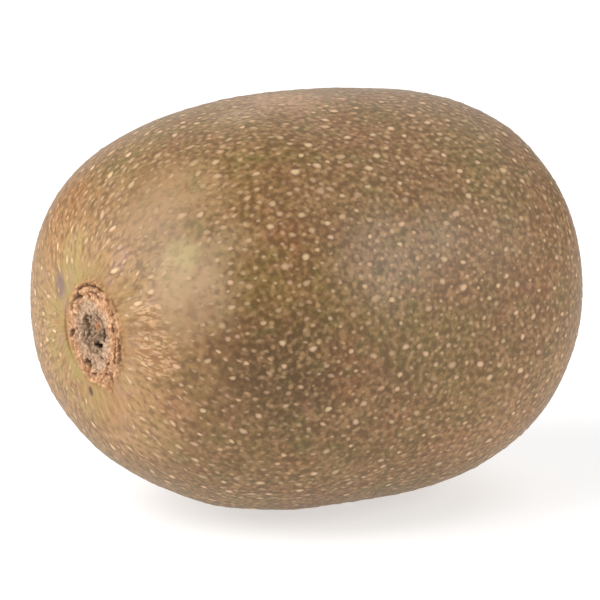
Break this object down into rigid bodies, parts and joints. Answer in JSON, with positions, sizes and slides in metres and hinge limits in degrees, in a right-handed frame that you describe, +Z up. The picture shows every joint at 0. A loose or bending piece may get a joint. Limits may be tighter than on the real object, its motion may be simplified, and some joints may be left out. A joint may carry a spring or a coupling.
{
  "type": "kiwi fruit",
  "caption": "Whole ripe kiwi fruit with smooth rubbed skin, raised lenticels, a corky stem scar and dried styles, lying on its side.",
  "frame": {"origin": "middle of the bounding box's underside, in the plane of the flat spot that the fruit rests on", "axes": "+X along the core from the stem scar to the blossom end, +Y across the fruit's wider way, +Z up"},
  "size_m": [0.0684, 0.0554, 0.0499],
  "materials": {
    "kiwi_skin": "smooth thin olive-brown skin with a soft sheen",
    "stem_cork": "dry matt cork",
    "dried_style": "dry matt dark brown plant fibre"
  },
  "bodies": {
    "root": {"kiwi_fruit": "kiwi_skin"}
  },
  "joints": []
}
